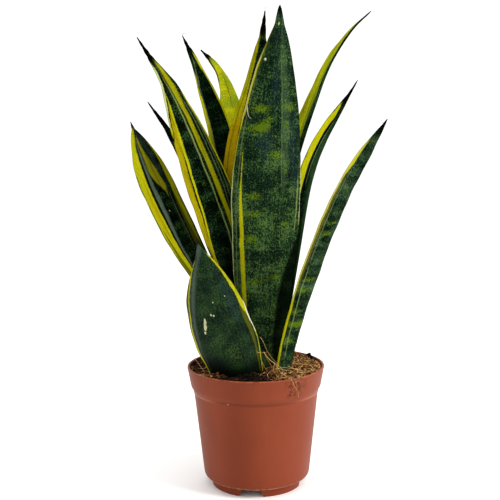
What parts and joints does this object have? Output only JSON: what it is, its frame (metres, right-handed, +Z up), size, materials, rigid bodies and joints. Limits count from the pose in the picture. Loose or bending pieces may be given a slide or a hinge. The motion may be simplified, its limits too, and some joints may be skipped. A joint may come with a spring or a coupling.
{
  "type": "potted golden flame snake plant",
  "caption": "Snake plant with stiff lance-shaped leaves, dark green with yellow margins and dark dry tips, standing in a round tapered plastic nursery pot filled with fibrous soil.",
  "frame": {"origin": "centre of the pot's foot on the surface that it stands on, which is the bottom centre of the whole plant's box", "axes": "+Z up along the pot's axis, -Y towards the viewer of the picture, +X to the viewer's right"},
  "size_m": [0.1898, 0.1244, 0.3654],
  "materials": {
    "pot_plastic": "satin moulded terracotta-brown plastic",
    "soil": "rough coir and peat crumbs with loose fibres",
    "rhizome": "matte ringed rhizome skin",
    "leaf": "satin waxy leaf, dark green bands and yellow margins"
  },
  "bodies": {
    "root": {"pot": "pot_plastic", "soil": "soil", "rhizome_front": "rhizome", "rhizome_right": "rhizome", "rhizome_middle": "rhizome", "rhizome_back": "rhizome", "leaf_front_tall": "leaf", "leaf_front_short": "leaf", "leaf_front_right": "leaf", "leaf_left_low": "leaf", "leaf_left_tall": "leaf", "leaf_left_hidden": "leaf", "leaf_back_left": "leaf", "leaf_back_yellow": "leaf", "leaf_back_tall": "leaf", "leaf_right_tall": "leaf", "leaf_right_mid": "leaf"}
  },
  "joints": []
}
